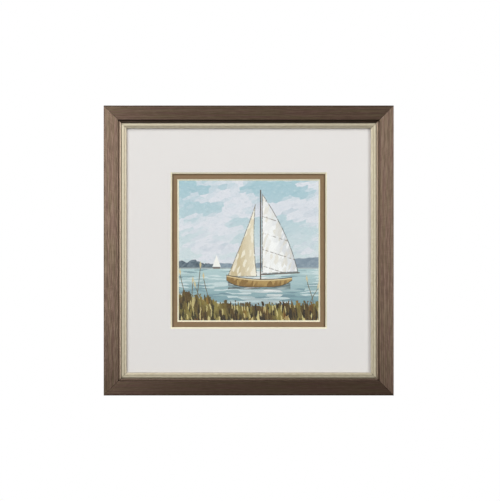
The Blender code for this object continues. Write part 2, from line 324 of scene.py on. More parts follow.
def champagne_gold(ridge, foot):
    """Pale gold leaf, bright on the ridge, duller on the flat and darker in the quirk and at the sight edge.
    The ridge and the foot of the slope are given as distances round the outline."""
    material = new_brushed_finish("champagne_gold", Metallic=0.6, Anisotropic=0.5)
    place = place_of(material, "UV")
    mottle = noise(place, (180.0, 500.0), 3.0, 0.6)
    drag = noise(place, (25.0, 2600.0))
    way_round = split(place)[1]
    flat = ramp(way_round, ridge - 0.7 * MM, ridge - 1.2 * MM)
    quirk = ramp(abs(way_round - (ridge - 0.5 * MM)), 0.42 * MM, 0.22 * MM)
    edge = ramp(way_round, foot - 0.2 * MM, foot + 0.1 * MM)
    across, _, up = split(place_of(material, "Object"))
    colour = layered(
        (181, 171, 147),
        ((198, 190, 168), ramp(mottle, 0.35, 0.65)),
        ((153, 139, 114), ramp(drag, 0.5, 0.3, 0.0, 0.5)),
        ((166, 159, 136), flat * 0.3),
        ((104, 86, 60), most(quirk * 0.8, edge * 0.4, mitre_line(across, up, 0.6 * MM, 0.5))),
    )
    return fed(
        material,
        Base_Color=colour,
        Roughness=0.42 + mottle * 0.2,
        Normal=raised(mottle * 0.6 + drag * 0.4, 0.02 * MM, 0.4),
    )


def bare_wood():
    """Pale pine behind the moulding: wavy growth lines along u and short dark pores."""
    material = new_finish("bare_wood", Roughness=0.75)
    place = place_of(material, "UV")
    rings = calc("SINE", split(place)[1] * 2300.0 + noise(place, (9.0, 30.0)) * 26.0)
    pores = noise(place, (90.0, 4200.0))
    colour = layered(
        (214, 184, 142),
        ((186, 148, 102), ramp(rings, -0.2, 1.0)),
        ((150, 112, 72), ramp(pores, 0.6, 0.75, 0.0, 0.6)),
    )
    return fed(material, Base_Color=colour, Normal=raised(rings * 0.2 + pores, 0.05 * MM, 0.5))


def clear_glass():
    """Picture glass: clear, flat and faintly green, with hardly visible smears."""
    green = (0.985, 1.0, 0.992, 1.0)
    material = new_finish("clear_glass", Base_Color=green, Transmission_Weight=1.0, IOR=1.5)
    smear = noise(place_of(material, "Object"), (9.0, 9.0, 9.0), 3.0)
    return fed(material, Roughness=ramp(smear, 0.55, 0.8, 0.0, 0.02))


def paper_board(name, colour, shade, shadow_edge_at=None):
    """Matt surface paper of a mat board: fine fibres and a very slight mottle. Given a distance, a painted
    shadow of the board laid over it darkens it softly towards a square line that far from the middle, most
    at the sides and top."""
    material = new_finish(name, Roughness=0.92, Specular_IOR_Level=0.25)
    place = place_of(material, "Object")
    fibre = noise(place, 2600.0, 2.0, 0.6)
    mottle = noise(place, 160.0, 3.0)
    paper = blend(shade, colour, ramp(mottle * 0.3 + fibre * 0.7, 0.38, 0.62))
    if shadow_edge_at:
        across, _, up = split(place)
        reach = most(abs(across), up - 0.4 * MM, up * -0.97 - 2.2 * MM)
        painted_shadow = ramp(reach, shadow_edge_at - 2.8 * MM, shadow_edge_at - 2.0 * MM)
        painted_shadow = painted_shadow * ramp(reach, shadow_edge_at, shadow_edge_at - 0.8 * MM, 0.5, 1.0)
        # painted shadow of the board above, along its window
        paper = blend(paper, (78, 60, 38), painted_shadow * 0.75)
    return fed(material, Base_Color=paper, Normal=raised(fibre * 0.9 + mottle * 0.1, 0.03 * MM, 0.6))


def cut_core():
    """The cream core that a bevelled cut shows, with the blade's fine marks."""
    material = new_finish("cut_core", Roughness=0.85, Specular_IOR_Level=0.25)
    marks = noise(place_of(material, "Object"), (300.0, 6000.0, 300.0))
    colour = blend((248, 237, 206), (255, 251, 227), ramp(marks, 0.35, 0.65))
    return fed(material, Base_Color=colour, Normal=raised(marks, 0.03 * MM, 0.5))


def hardboard():
    """Brown pressed board: matted fibres, some of them dark."""
    material = new_finish("hardboard", Roughness=0.8)
    fibre = noise(place_of(material, "Object"), 900.0, 4.0, 0.7, 1.5)
    colour = blend((98, 72, 48), (142, 108, 74), ramp(fibre, 0.35, 0.65))
    return fed(material, Base_Color=colour, Normal=raised(fibre, 0.06 * MM))


def kraft_paper(reach):
    """Brown wrapping paper: fine machine ribs, pale and dark fibres, and a darker margin where the glue
    soaked in. The margin is where the larger of |x| and |z| comes within 9 mm of the sheet's reach, on a
    slightly wavy line."""
    material = new_finish("kraft_paper", Roughness=0.8, Specular_IOR_Level=0.35)
    place = place_of(material, "Object")
    across, _, up = split(place)
    ribs = calc("SINE", up * 5200.0)
    fibre = noise(place, (420.0, 420.0, 1500.0), 4.0, 0.7)
    speck = noise(place, (1500.0, 1500.0, 900.0), 1.0)
    cloud = noise(place, 16.0, 3.0)
    edge = most(abs(across), abs(up)) + (noise(place, 60.0, 3.0) - 0.5) * 3 * MM
    colour = layered(
        (184, 144, 100),
        ((204, 166, 122), ramp(fibre * 0.7 + cloud * 0.3, 0.38, 0.62)),
        ((146, 106, 66), ramp(speck, 0.66, 0.76, 0.0, 0.6)),
        ((226, 196, 156), ramp(speck, 0.32, 0.24, 0.0, 0.5)),
        ((168, 126, 82), ramp(edge, reach - 9.5 * MM, reach - 8.5 * MM) * 0.45),
    )
    relief = ribs * 0.12 + fibre * 0.7 + cloud * 0.4
    return fed(material, Base_Color=colour, Normal=raised(relief, 0.08 * MM, 0.6))


def plated_steel():
    """Zinc plated steel with soft rolling marks."""
    material = new_finish("plated_steel", Metallic=1.0)
    place = place_of(material, "Object")
    marks = noise(place, (2500.0, 400.0, 500.0), 3.0)
    colour = blend((176, 176, 174), (214, 212, 206), ramp(noise(place, 260.0, 3.0), 0.35, 0.65))
    relief = raised(marks, 0.02 * MM, 0.5)
    return fed(material, Base_Color=colour, Roughness=0.24 + marks * 0.2, Normal=relief)


def soft_rubber():
    """Dark grey rubber with a fine moulded grain."""
    material = new_finish("soft_rubber", Specular_IOR_Level=0.4)
    place = place_of(material, "Object")
    grain = noise(place, 3500.0)
    dust = noise(place, 420.0, 3.0)
    colour = blend((46, 46, 47), (78, 77, 75), ramp(dust, 0.45, 0.75))
    relief = raised(grain, 0.05 * MM, 0.5)
    return fed(material, Base_Color=colour, Roughness=0.55 + dust * 0.2, Normal=relief)


# Window sizes of the mats, and places in the print as shares of the inner window
OUTER_WINDOW = 215.9 * MM
PRINT_OPENING = 196.85 * MM
HORIZON = 0.37
FAR_BOAT_AT = 0.27
MAST_AT = 0.585
MAST_TOP = 0.90
BOOM_UP = 0.335
BOOM_SLOPE = 0.05
LUFF = MAST_TOP - BOOM_UP
WATERLINE = 0.242
REED_ROOTS = (0.05, 0.09, 0.13, 0.17, 0.215, 0.93, 0.965)
REED_HEIGHTS = (0.36, 0.30, 0.41, 0.27, 0.33, 0.26, 0.31)


def dabs(place, width, height, slant):
    """Breaks the picture into brush dabs, the cells round scattered points. All points of a dab take the
    place of its middle, so each dab has one colour. Returns that place and a random number for each dab."""
    feeds = {"Vector": mapped(place, (width, height), slant, "TEXTURE"), "Scale": 1.0, "Randomness": 0.95}
    _, chance, middle = new_node(place.tree, "TexVoronoi", feeds, voronoi_dimensions="2D")[:3]
    return mapped(middle, (width, height), slant), split(chance)[0]


def wobbled(place, scale, amount):
    """A place pushed about by noise, so that an edge looks drawn by hand."""
    across, up, _ = split(place)
    push_across = noise(place, scale, 3.0) - 0.5
    push_up = noise(joined(across + 7.3, up - 4.1, 0.0), scale, 3.0) - 0.5
    return joined(across + push_across * amount, up + push_up * amount, 0.0)


def painted_sky(place):
    """Pale aqua that deepens upwards, with long slanting veils of cloud."""
    middle, chance = dabs(wobbled(place, 40.0, 0.012), 0.055, 0.022, 0.35)
    veil = noise(middle, (2.3, 6.5), 3.0, 0.55, turn=-0.25) + (chance - 0.5) * 0.05
    scumble = noise(place, (38.0, 62.0), 4.0, 0.75, turn=0.4)
    return layered(
        (207, 219, 222),
        ((166, 197, 207), ramp(split(middle)[1], 0.38, 1.0)),
        ((222, 224, 231), ramp(veil, 0.46, 0.56, 0.0, 0.95)),
        ((190, 199, 210), ramp(veil, 0.6, 0.7, 0.0, 0.5)),
        ((140, 178, 190), ramp(chance, 0.8, 1.0, 0.0, 0.22)),
        ((238, 238, 238), ramp(scumble, 0.54, 0.68, 0.0, 0.35)),
        ((138, 168, 178), ramp(scumble, 0.46, 0.34, 0.0, 0.28)),
    )


def painted_water(place):
    """Level strokes, pale at the horizon and deeper below, with the sails' broken light in the middle."""
    middle, chance = dabs(wobbled(place, 30.0, 0.008), 0.09, 0.011, 0.0)
    across, up, _ = split(middle)
    light = ramp(abs(across - MAST_AT - 0.02), 0.19, 0.05) * ramp(up, 0.06, 0.2)
    light = light * ramp(noise(middle, (5.0, 60.0)), 0.45, 0.58)
    return layered(
        (118, 152, 160),
        ((178, 203, 205), ramp(up, 0.08, HORIZON)),
        ((92, 124, 136), ramp(chance, 0.7, 0.95, 0.0, 0.6)),
        ((214, 226, 226), ramp(chance, 0.3, 0.1, 0.0, 0.75)),
        ((234, 234, 232), light * 0.85),
    )


def painted_hills(under, place):
    """Two slate headlands behind the water, the farther one paler, with a pale shore and a far boat."""
    _, chance = dabs(wobbled(place, 60.0, 0.01), 0.02, 0.014, 0.5)
    across, up, _ = split(place)
    roll = noise(joined(across * 5.0, 0.0, 0.0), 1.0, 3.0, 0.55)
    far = HORIZON + 0.035 + (roll - 0.5) * 0.07 + ramp(across, 0.45, 1.0, 0.0, 0.05)
    bumps = noise(joined(across * 14.0, 3.0, 0.0), 1.0, 4.0, 0.6)
    near = HORIZON + 0.055 + (bumps - 0.5) * 0.1 - ramp(across, 0.12, 0.47, 0.0, 0.085)
    beside = abs(across - FAR_BOAT_AT)
    sail = least((0.47 - up) * 0.36 - beside, up - HORIZON - 0.012)
    hull = least(0.026 - beside, HORIZON + 0.01 - up, up - HORIZON + 0.004)
    return layered(
        under,
        (blend((142, 158, 170), (122, 139, 153), chance), ramp(far - up, 0.0, 0.006)),
        (blend((70, 86, 98), (112, 128, 138), chance), ramp(near - up, 0.0, 0.005)),
        ((206, 210, 200), ramp(abs(up - HORIZON - 0.004), 0.0035, 0.0005, 0.0, 0.7)),
        ((244, 243, 238), ramp(sail, 0.0, 0.002)),
        ((110, 80, 48), ramp(hull, 0.0, 0.002)),
    )


def line(distance, width, place, dryness=0.35):
    """A dark pencil line where a distance is near nought, broken up by noise as a dry brush leaves it."""
    skips = ramp(noise(place, 55.0, 3.0), dryness, dryness + 0.12)
    return ramp(abs(distance), width, width * 0.35) * skips


def painted_sails(under, place, drawn):
    """A tall main sail and a jib. A sail is where three edge distances are all positive: a straight luff and
    foot, and a leech that is a straight line bowed out by a parabola of its height."""
    across, up, _ = split(drawn)
    from_mast = across - MAST_AT
    rise = (up - BOOM_UP) / LUFF
    belly = rise * (1.0 - rise)
    middle, chance = dabs(wobbled(place, 50.0, 0.01), 0.016, 0.05, -0.3)
    inner_across, inner_up, _ = split(middle)

    leech = MAST_AT + 0.014 + (1.0 - rise) * 0.255 + belly * 0.13
    main = least(from_mast - 0.012, leech - across, up - BOOM_UP - from_mast * BOOM_SLOPE)
    shade = ramp(inner_across - MAST_AT - (1.0 - (inner_up - BOOM_UP) / LUFF) * 0.15, -0.02, 0.11)
    seam = abs(calc("FRACT", (up + from_mast * 0.32 - BOOM_UP) / 0.118) - 0.5)
    main_cloth = layered(
        (241, 241, 239),
        ((206, 209, 215), shade * 0.8),
        ((250, 250, 249), ramp(chance, 0.6, 0.8, 0.0, 0.7)),
        ((222, 214, 194), ramp(chance, 0.3, 0.12, 0.0, 0.45)),
        ((112, 98, 84), line(seam, 0.034, drawn, 0.42) * 0.85),
    )

    luff = MAST_AT - 0.012 - (1.0 - rise) * 0.215
    jib = least(across - luff - belly * 0.03, MAST_AT - 0.03 - belly * 0.07 - across, up - BOOM_UP + 0.02)
    jib = least(jib, MAST_TOP - 0.07 - up)
    jib_cloth = layered(
        (231, 221, 196),
        ((201, 184, 146), ramp(inner_across, 0.56, 0.40)),
        ((246, 241, 226), ramp(chance, 0.55, 0.8, 0.0, 0.7)),
    )
    under = layered(
        under,
        (main_cloth, ramp(main, 0.0, 0.003)),
        ((84, 76, 66), line(main, 0.0042, drawn) * 0.85),
        (jib_cloth, ramp(jib, 0.0, 0.003)),
        ((98, 84, 64), line(jib, 0.004, drawn) * 0.8),
    )
    return under, chance


def painted_boat(under, place):
    """A boat with one mast: its sails, spars and hull, and its shadow in the water. The hull lies between the
    sheer, a parabola, and the keel, a curve of the fourth power."""
    drawn = wobbled(place, 45.0, 0.004)
    under, chance = painted_sails(under, place, drawn)
    across, up, _ = split(drawn)
    from_mast = across - MAST_AT
    mast = least(0.0045 - abs(from_mast), up - WATERLINE - 0.03, MAST_TOP + 0.035 - up)
    boom = least(0.004 - abs(up - BOOM_UP + 0.008 - from_mast * BOOM_SLOPE), from_mast)
    boom = least(boom, MAST_AT + 0.28 - across)
    reach = (from_mast + 0.01) / 0.235
    sheer = WATERLINE + 0.052 + reach * reach * 0.022 - reach * 0.008
    keel = WATERLINE - 0.004 + reach * reach * reach * reach * 0.05
    hull = least(sheer - up, up - keel, 1.0 - abs(reach))
    planks = layered(
        (176, 146, 90),
        ((134, 104, 58), ramp(chance + (sheer - up) * 12.0, 0.5, 1.1)),
        ((226, 206, 160), ramp(sheer - up, 0.013, 0.006)),
    )
    shadow = least(keel + 0.002 - up, up - WATERLINE + 0.022, 1.0 - abs(reach * 1.05))
    streaks = ramp(noise(place, (9.0, 90.0)), 0.4, 0.55)
    return layered(
        under,
        ((78, 60, 44), ramp(most(mast, boom), -0.001, 0.0015)),
        (planks, ramp(hull, 0.0, 0.0025)),
        ((58, 44, 30), line(hull, 0.0045, drawn, 0.25) * 0.9),
        ((82, 92, 92), ramp(shadow, 0.0, 0.004) * streaks * 0.85),
    )


def painted_bank(under, place):
    """A grassy bank across the bottom in upright strokes of olive, ochre and brown, higher on the left."""
    middle, chance = dabs(wobbled(place, 70.0, 0.012), 0.009, 0.042, 0.12)
    up = split(place)[1]
    inner_across = split(middle)[0]
    crest = noise(joined(inner_across * 3.0, 5.0, 0.0), 1.0, 3.0, 0.6)
    ragged = (chance - 0.5) * 0.045
    top = 0.125 + (crest - 0.5) * 0.1 + ramp(inner_across, 0.42, 0.0, 0.0, 0.075) + ragged
    tone = layered(
        (134, 122, 62),
        ((78, 60, 26), ramp(noise(middle, (9.0, 6.0), 3.0), 0.4, 0.56)),
        ((30, 23, 13), ramp(chance + (top - up) * 2.4, 0.86, 1.06, 0.0, 0.92)),
        ((204, 190, 130), ramp(chance, 0.22, 0.1, 0.0, 0.9)),
        ((128, 80, 24), ramp(noise(middle, 11.0), 0.58, 0.68, 0.0, 0.6)),
    )
    return blend(under, tone, ramp(top - up, 0.0, 0.004))


def painted_reeds(under, place):
    """Thin stems that lean over in parabolas, each with a pale seed head at its tip."""
    chance = np.random.default_rng(11)
    across, up, _ = split(wobbled(place, 30.0, 0.006))
    for root, height in zip(REED_ROOTS, REED_HEIGHTS):
        lean = chance.uniform(-0.06, 0.08)
        rise = ramp(up, 0.03, height)
        gap = abs(across - root - rise * rise * lean)
        stem = least(0.0026 - gap, height - up, up - 0.03)
        head = 1.0 - gap * 110.0 - abs(up - height + 0.012) * 30.0
        under = blend(under, (100, 84, 40), ramp(stem, -0.0008, 0.0008) * 0.9)
        under = blend(under, (212, 196, 148), ramp(head, 0.0, 0.35) * 0.95)
    return under


def painted_paper():
    """A loose brush painting of a boat on a bay, printed on matt paper."""
    material = new_finish("painted_paper", Roughness=0.7, Specular_IOR_Level=0.3)
    x, _, z = split(place_of(material, "Object"))
    up = z / PRINT_OPENING + 0.5
    place = joined(x / PRINT_OPENING + 0.5, up, 0.0)
    colour = painted_hills(painted_sky(place), place)
    colour = blend(colour, painted_water(place), ramp(up, HORIZON + 0.002, HORIZON - 0.002))
    for painted in (painted_boat, painted_bank, painted_reeds):
        colour = painted(colour, place)
    bristles = noise(place, (60.0, 900.0), turn=0.3)
    canvas = noise(place, 420.0)
    colour = layered(
        colour,
        ((255, 255, 255), ramp(bristles, 0.55, 0.75, 0.0, 0.12)),
        ((60, 60, 60), ramp(bristles * 0.6 + canvas * 0.4, 0.46, 0.3, 0.0, 0.12)),
    )
    return fed(material, Base_Color=colour, Normal=raised(bristles * 0.5 + canvas * 0.5, 0.03 * MM, 0.4))


def in_scene(name, data):
    """Makes a new object of a mesh, camera or light, and puts it in the scene."""
    made = bpy.data.objects.new(name, data)
    bpy.context.scene.collection.objects.link(made)
    return made


def slot_of(node):
    """The record's material slot of a CAD node."""
    return next(part["material_slot"] for part in frame["record"]["subparts"] if part["node"] == node)


def grid_faces(rows, columns, wrap_rows, wrap_columns):
    """Quads of a grid: each spans one step of both directions, and a wrapped direction closes on itself."""
    row, column = np.meshgrid(
        np.arange(rows if wrap_rows else rows - 1),
        np.arange(columns if wrap_columns else columns - 1),
        indexing="ij",
    )
    next_row = (row + 1) % rows
    next_column = (column + 1) % columns
    corners = [
        row * columns + column,
        row * columns + next_column,
        next_row * columns + next_column,
        next_row * columns + column,
    ]
    return np.stack(corners, axis=-1), row, column


def grid_piece(
    name, node, finishes, points, smooth,
    u=None, v=None, wrap_rows=False, wrap_columns=False, finish=0, end_finish=None,
):
    """Makes points[row, column] a piece that stands for a CAD node, welded and with its faces outwards.
    Edges look smooth up to an angle of smooth degrees. u has a value for each row and v for each column, with
    one more where it wraps. finish is one number or one for each step between columns. With end_finish, a
    flat face closes each open end."""
    rows, columns = points.shape[:2]
    faces, row, column = grid_faces(rows, columns, wrap_rows, wrap_columns)
    u = np.arange(rows + 1) * MM if u is None else u
    v = np.arange(columns + 1) * MM if v is None else v
    corner_u = np.stack([u[row], u[row], u[row + 1], u[row + 1]], axis=-1)
    corner_v = np.stack([v[column], v[column + 1], v[column + 1], v[column]], axis=-1)
    uv = np.stack([corner_u, corner_v], axis=-1).ravel()
    finish = np.broadcast_to(finish, faces.shape[:2]).ravel()
    faces = faces.reshape(-1, 4).tolist()
    if end_finish is not None:
        faces += [range(columns), range((rows - 1) * columns, rows * columns)]
        uv = np.append(uv, np.zeros(2 * 2 * columns))
        finish = np.append(finish, [end_finish, end_finish])
    mesh = bpy.data.meshes.new(name)
    mesh.from_pydata(points.reshape(-1, 3).tolist(), [], faces)
    mesh.uv_layers.new(name="UVMap").uv.foreach_set("vector", uv)
    mesh.polygons.foreach_set("material_index", finish.astype(np.int32))
    shape = bmesh.new()
    shape.from_mesh(mesh)
    bmesh.ops.remove_doubles(shape, verts=shape.verts, dist=0.002 * MM)
    bmesh.ops.recalc_face_normals(shape, faces=shape.faces)
    shape.to_mesh(mesh)
    shape.free()
    for material in finishes:
        mesh.materials.append(material)
    mesh.shade_smooth()
    mesh.set_sharp_from_angle(angle=math.radians(smooth))
    piece = in_scene(name, mesh)
    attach(piece, "root")
    slot_of(node)
    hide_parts(node)
    return piece


def arc(centre, radius, start, stop, steps):
    """Points on a circle from one angle to another, in degrees."""
    angle = np.radians(np.linspace(start, stop, steps + 1))
    return np.stack([centre[0] + radius * np.cos(angle), centre[1] + radius * np.sin(angle)], axis=1)


def outline(*runs):
    """One closed outline from arcs and single points."""
    return np.concatenate([np.atleast_2d(run) for run in runs])


def steadied(profile):
    """Adds a point just inside each end of a long straight step, so that a round's shading stays on it."""
    near = 0.12 * MM
    step = np.roll(profile, -1, axis=0) - profile
    length = np.linalg.norm(step, axis=1, keepdims=True)
    share = np.minimum(near / length, 0.5)
    is_long = length[:, 0] > 6 * near
    wanted = np.stack([np.ones_like(is_long), is_long, is_long], axis=1)
    triples = np.stack([profile, profile + step * share, profile + step * (1 - share)], axis=1)
    return triples[wanted]


def rail_outline():
    """The brown moulding: a face with a very slight crown and eased edges, a cove that falls to a ledge, and
    a small bead along the ledge, parted from the gold lip by a quirk.
    The crown is a parabola, height - crown * s * s, where s runs from -1 to 1 across the face."""
    shoulder = RAIL_HEIGHT - CROWN
    across = np.linspace(-1, 1, 15)
    first, last = ARRIS_RADIUS, FACE_WIDTH - INNER_ARRIS_RADIUS
    inward = (first + last) / 2 + across * (last - first) / 2
    face = np.stack([inward, RAIL_HEIGHT - CROWN * across**2], axis=1)
    return outline(
        (0.0, BACK_EASE),
        arc((ARRIS_RADIUS, shoulder - ARRIS_RADIUS), ARRIS_RADIUS, 180, 90, 10)[:-1],
        face,
        arc((last, shoulder - INNER_ARRIS_RADIUS), INNER_ARRIS_RADIUS, 90, 15, 8)[1:],
        arc((BEAD_AT - BEAD_RADIUS, COVE_FOOT + COVE_RADIUS), COVE_RADIUS, COVE_START, 270, 12),
        arc((BEAD_AT, COVE_FOOT + HAIRLINE), BEAD_RADIUS, 172, 8, 12),
        (SEAM_AT, COVE_FOOT - QUIRK),
        (SEAM_AT, LIP_UNDERSIDE),
        (RABBET_AT, LIP_UNDERSIDE),
        (RABBET_AT, 0.0),
        (BACK_EASE, 0.0),
    )


def lip_outline():
    """The gold lip: an outer slope, a flat, a round ridge and a slope down to a round sight edge."""
    start = SEAM_AT + HAIRLINE
    sight = (MOULDING_WIDTH - LIP_BEAD, LIP_SLOPE_FOOT - LIP_BEAD / 2)
    ridge = LIP_BEAD / 2
    shoulder = LIP_TOP - LIP_BEAD
    return outline(
        (start, LIP_UNDERSIDE),
        (start, COVE_FOOT - QUIRK / 2),
        (start + 0.15 * MM, COVE_FOOT),
        (start + 0.7 * MM, shoulder - 0.15 * MM),
        arc((start + 2 * LIP_BEAD, shoulder - 0.25 * MM), 0.3 * MM, 130, 95, 5),
        (LIP_RIDGE_AT - 0.45 * MM, LIP_TOP - 0.3 * MM),
        (LIP_RIDGE_AT - 0.1 * MM, shoulder),
        arc((LIP_RIDGE_AT + ridge, LIP_TOP - ridge), ridge, 170, 10, 8),
        (LIP_RIDGE_AT + LIP_BEAD + 0.1 * MM, shoulder),
        arc(sight, LIP_BEAD, 70, -10, 8),
        (MOULDING_WIDTH, LIP_UNDERSIDE),
    )


def run_length(profile):
    """Distance along a closed outline up to each point, and back to the first."""
    closed = np.concatenate([profile, profile[:1]])
    return np.concatenate([[0.0], np.cumsum(np.linalg.norm(np.diff(closed, axis=0), axis=1))])


def carried(profile, gap):
    """The bottom side of a square frame: an outline carried along X between two mitres.
    At share t the point (inward u, height h) lies at x = t * (half - u - gap), y = back - h, z = u - half.
    At both ends a quarter round of MITRE_ARRIS draws the outline in as it comes back from the mitre plane."""
    ahead = np.roll(profile, -1, axis=0) - profile
    normal = np.stack([-ahead[:, 1], ahead[:, 0]], axis=1)
    normal = normal / np.linalg.norm(normal, axis=1, keepdims=True)
    normal = normal + np.roll(normal, 1, axis=0)
    normal = normal / np.maximum(np.linalg.norm(normal, axis=1, keepdims=True), 0.3)
    turn = np.radians(np.linspace(0, 90, 4))
    inset = MITRE_ARRIS * (1 - np.sin(turn))
    retreat = MITRE_ARRIS * (1 - np.cos(turn))
    middle = np.linspace(-1, 1, 41)[1:-1]
    steady = np.full(len(middle) + 2, 1.6 * MITRE_ARRIS)
    ends = len(turn) + 1
    inset = np.concatenate([inset, np.zeros_like(steady), inset[::-1]])[:, None]
    retreat = np.concatenate([retreat, steady, retreat[::-1]])[:, None]
    share = np.concatenate([np.full(ends, -1.0), middle, np.full(ends, 1.0)])[:, None]
    u = profile[:, 0] - normal[:, 0] * inset
    h = profile[:, 1] - normal[:, 1] * inset
    return np.stack([share * (HALF - u - gap - retreat), RAIL_BACK - h, u - HALF], axis=-1)


def quarter_turned(points, quarter):
    """Points turned about Y by quarter turns, from the bottom side to the left, top and right."""
    x, y, z = points[..., 0], points[..., 1], points[..., 2]
    sine, cosine = round(math.sin(quarter * math.pi / 2)), round(math.cos(quarter * math.pi / 2))
    return np.stack([x * cosine + z * sine, y, z * cosine - x * sine], axis=-1)


def whole_step(holds):
    """Where something holds at both ends of a step round the outline."""
    return holds & np.roll(holds, -1)


def rail_finish_steps(profile):
    """Finish 0 is the brown front and sides, and 1 is the bare wood behind and in the rabbet."""
    inward, height = profile.T
    back = whole_step(height < 0.3 * MM)
    inside = whole_step(inward > RABBET_AT - HAIRLINE)
    under = whole_step(np.abs(height - LIP_UNDERSIDE) < HAIRLINE)
    return np.where(back | inside | under, 1, 0)


def lip_finish_steps(profile):
    """Finish 0 is gold, 1 is the bare underside and 2 is the brown side beside the quirk."""
    inward, height = profile.T
    under = whole_step(height < LIP_UNDERSIDE + HAIRLINE)
    outer = whole_step(height < COVE_FOOT + HAIRLINE) & (inward < RABBET_AT)
    return np.where(under, 1, np.where(outer, 2, 0))


def build_moulding():
    """Four brown rails and four gold lips. Grain and brush marks run along u, and each side has its own
    stretch of them, next_stretch metres further on."""
    rail = steadied(rail_outline())
    rail_run = run_length(rail)
    from_bead = np.linalg.norm(rail - (BEAD_AT, COVE_FOOT + HAIRLINE), axis=1) - BEAD_RADIUS
    on_bead = rail_run[:-1][np.abs(from_bead) < 0.01 * MM]
    lip = steadied(lip_outline())
    lip_run = run_length(lip)
    ridge = lip_run[np.argmax(lip[:, 1] - np.abs(lip[:, 0] - LIP_RIDGE_AT))]
    slope_foot = (MOULDING_WIDTH - LIP_BEAD / 2, LIP_SLOPE_FOOT)
    foot = lip_run[np.argmin(np.abs(lip - slope_foot).sum(axis=1))]
    wood = bare_wood()
    brown = bronze_brown(on_bead.min(), on_bead.max())
    gold = champagne_gold(ridge, foot)
    next_stretch = 0.9
    for quarter, side in enumerate(("bottom", "left", "top", "right")):
        for name, node, profile, run, gap, finishes, finish in (
            ("moulding_", "rail_", rail, rail_run, RAIL_GAP, [brown, wood], rail_finish_steps(rail)),
            ("gold_lip_", "lip_", lip, lip_run, LIP_GAP, [gold, wood, brown], lip_finish_steps(lip)),
        ):
            points = carried(profile, gap)
            u = points[:, :, 0].mean(axis=1) + quarter * next_stretch
            grid_piece(
                name + side,
                node + side,
                finishes,
                quarter_turned(points, quarter),
                30,
                np.append(u, u[-1]),
                run,
                wrap_columns=True,
                finish=finish,
                end_finish=1,
            )


def square_turned(reach, depth):
    """An outline carried round a square: at place (a, b) of the square the point is (reach * a, depth,
    reach * b). The square's corners are at 1 and -1, and each side has as many equal steps."""
    share = np.linspace(-1, 1, 24, endpoint=False)
    side = np.ones(len(share))
    across = np.concatenate([share, side, -share, -side])[:, None]
    up = np.concatenate([-side, share, side, -share])[:, None]
    return np.stack([across * reach, np.broadcast_to(depth, (len(up), len(depth))), up * reach], axis=-1)


def build_mat(name, node, opening, board, core):
    """A mat board: a flat strip with a bevel of 45 degrees at the window, carried round a square."""
    low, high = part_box(node)
    reach, front, back = high.x, low.y, high.y
    thick = back - front
    window = opening / 2
    profile = np.array(
        [
            (reach, back),
            (reach, front),
            (window + thick + 0.5 * MM, front),
            (window + thick + 0.05 * MM, front),
            (window + thick, front + 0.02 * MM),
            (window + 0.05 * MM, back - 0.05 * MM),
            (window, back),
        ]
    )
    points = square_turned(profile[:, 0], profile[:, 1])
    finish = [0, 0, 0, 0, 1, 1, 0]
    grid_piece(name, node, [board, core], points, 20, wrap_rows=True, wrap_columns=True, finish=finish)


def build_sheet(name, node, finish, edge):
    """A flat sheet with ground edges: front and back run from the middle to a small chamfer of size edge."""
    low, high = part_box(node)
    reach, front, back = high.x, low.y, high.y
    steps = np.array([0.0, reach * 0.5, reach - edge, reach, reach, reach - edge, reach * 0.5, 0.0])
    depth = np.array([front, front, front, front + edge, back - edge, back, back, back])
    return grid_piece(name, node, [finish], square_turned(steps, depth), 20, wrap_rows=True)


def build_package():
    """What lies in the rabbet, from the front: glass, two mats, the print and the backing board."""
    core = cut_core()
    glass = build_sheet("picture_glass", "glass_pane", clear_glass(), 0.25 * MM)
    glass.visible_shadow = False
    glass.visible_diffuse = False
    white = paper_board("white_board", (232, 228, 226), (228, 224, 222))
    build_mat("white_mat", "outer_mat", OUTER_WINDOW, white, core)
    # the tan board gets a painted shadow along the white mat's window
    tan = paper_board("tan_board", (142, 117, 88), (132, 108, 80), OUTER_WINDOW / 2)
    build_mat("tan_mat", "inner_mat", PRINT_OPENING, tan, core)
    build_sheet("painted_print", "print_sheet", painted_paper(), 0.05 * MM)
    board = hardboard()
    for material_slot in frame["nodes"]["backing_board"].material_slots:
        material_slot.material = board


def paper_wave(x, z, reach):
    """How far the pasted paper stands off: a few slow waves, flat where it is pasted to the rails."""
    slack = np.clip((reach - np.maximum(np.abs(x), np.abs(z))) / (40 * MM), 0, 1)
    slack = slack * slack * (3 - 2 * slack)
    waves = np.sin(x * 31 + 1.7 * np.sin(z * 17)) * 0.5 + np.sin(z * 26 - x * 13 + 0.8) * 0.5
    pucker = np.sin((x + z) * 150) * np.clip(1 - slack, 0, 1) * 0.12
    return slack * (0.5 + 0.5 * waves) + pucker * slack


def build_dust_cover():
    """A thin sheet: at (x, z) its wall side lies at the pasted place + swell * wave, and its frame side is
    one thickness nearer."""
    low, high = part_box("dust_cover")
    reach = high.x
    pasted_width = 9 * MM
    swell = 0.38 * MM
    thick = 0.14 * MM
    line_of = np.linspace(-reach, reach, 110)
    z, x = np.meshgrid(line_of, line_of, indexing="ij")
    wall_side = low.y - 0.08 * MM + swell * paper_wave(x, z, reach - pasted_width)
    near = np.stack([x, wall_side - thick, z], axis=-1)
    far = np.stack([x, wall_side, z], axis=-1)[:, ::-1]
    points = np.concatenate([near, far], axis=1)
    grid_piece("paper_back", "dust_cover", [kraft_paper(reach)], points, 40, wrap_columns=True, end_finish=0)


# Sizes of the hangers
RING_RADIUS = 6.8 * MM
RING_CORNER = 1.6 * MM
RING_BOW_RISE = 3.2 * MM
WIRE_RADIUS = 0.9 * MM
STRAP_HALF_WIDTH = 4.5 * MM
BARREL_HALF_WIDTH = 3.8 * MM
STRAP_THICK = 0.9 * MM
STRAP_EASE = 0.2 * MM


